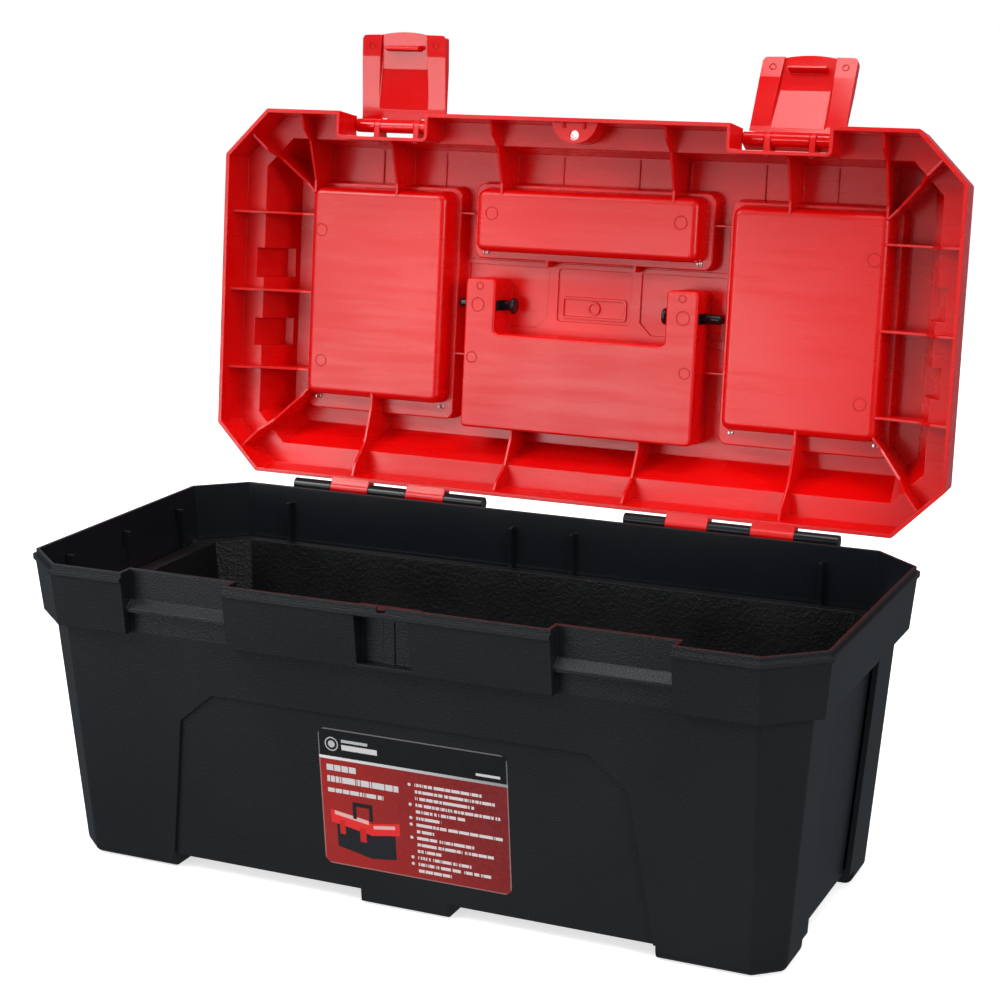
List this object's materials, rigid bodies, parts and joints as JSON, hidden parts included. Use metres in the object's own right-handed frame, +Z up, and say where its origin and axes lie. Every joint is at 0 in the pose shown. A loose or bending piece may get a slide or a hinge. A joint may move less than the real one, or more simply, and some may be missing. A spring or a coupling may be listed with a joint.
{
  "type": "toolbox",
  "caption": "Plastic toolbox with an open hinged lid, two flip latches, clear-covered bins in the lid, a fold-down handle and a lift-out tray.",
  "frame": {"origin": "on the floor, in the middle of the skid under the tub, midway between the feet", "axes": "+X along the box's length to the right as seen from the front, +Y to the back where the hinge is, +Z up"},
  "size_m": [0.507, 0.3385, 0.4881],
  "materials": {
    "black_plastic": "fine-grained black polypropylene with a soft sheen",
    "red_plastic": "glossy red polypropylene",
    "clear_plastic": "clear, slightly grey polycarbonate",
    "tray_plastic": "smooth black polypropylene",
    "label_film": "printed glossy film, red with a dark top band"
  },
  "bodies": {
    "root": {"tub": "black_plastic", "label": "label_film", "hinge_pin_left": "black_plastic", "hinge_pin_right": "black_plastic"},
    "lid": {"lid": "red_plastic", "latch_pin_left": "red_plastic", "latch_pin_right": "red_plastic", "handle_pin_left": "black_plastic", "handle_pin_right": "black_plastic", "cover_strip_left": "clear_plastic", "cover_strip_middle": "clear_plastic", "cover_strip_right": "clear_plastic"},
    "latch_left": {"latch_left": "red_plastic"},
    "latch_right": {"latch_right": "red_plastic"},
    "handle": {"handle": "black_plastic"},
    "cover_left": {"cover_left": "clear_plastic"},
    "cover_middle": {"cover_middle": "clear_plastic"},
    "cover_right": {"cover_right": "clear_plastic"},
    "tray": {"tray": "tray_plastic"}
  },
  "joints": [
    {"name": "lid_hinge", "type": "hinge", "parent": "root", "child": "lid", "pos_m": [0, 0.1279, 0.1885], "axis": [-1, 0, 0], "range_deg": [-96.9, 0]},
    {"name": "latch_left_hinge", "type": "hinge", "parent": "lid", "child": "latch_left", "pos_m": [0, 0.18243, 0.42688], "axis": [-1, 0, 0], "range_deg": [-95, 45]},
    {"name": "latch_right_hinge", "type": "hinge", "parent": "lid", "child": "latch_right", "pos_m": [0, 0.18243, 0.42688], "axis": [-1, 0, 0], "range_deg": [-123, 17]},
    {"name": "handle_fold", "type": "hinge", "parent": "lid", "child": "handle", "pos_m": [0, 0.18542, 0.31088], "axis": [1, 0, 0], "range_deg": [0, 90]},
    {"name": "cover_left_hinge", "type": "hinge", "parent": "lid", "child": "cover_left", "pos_m": [0, 0.18935, 0.23435], "axis": [-1, 0, 0], "range_deg": [0, 90]},
    {"name": "cover_middle_hinge", "type": "hinge", "parent": "lid", "child": "cover_middle", "pos_m": [0, 0.20257, 0.34355], "axis": [-1, 0, 0], "range_deg": [0, 90]},
    {"name": "cover_right_hinge", "type": "hinge", "parent": "lid", "child": "cover_right", "pos_m": [0, 0.18935, 0.23435], "axis": [-1, 0, 0], "range_deg": [0, 90]},
    {"name": "tray_lift", "type": "slide", "parent": "root", "child": "tray", "axis": [0, 0, 1], "range_m": [0, 0.12]}
  ]
}
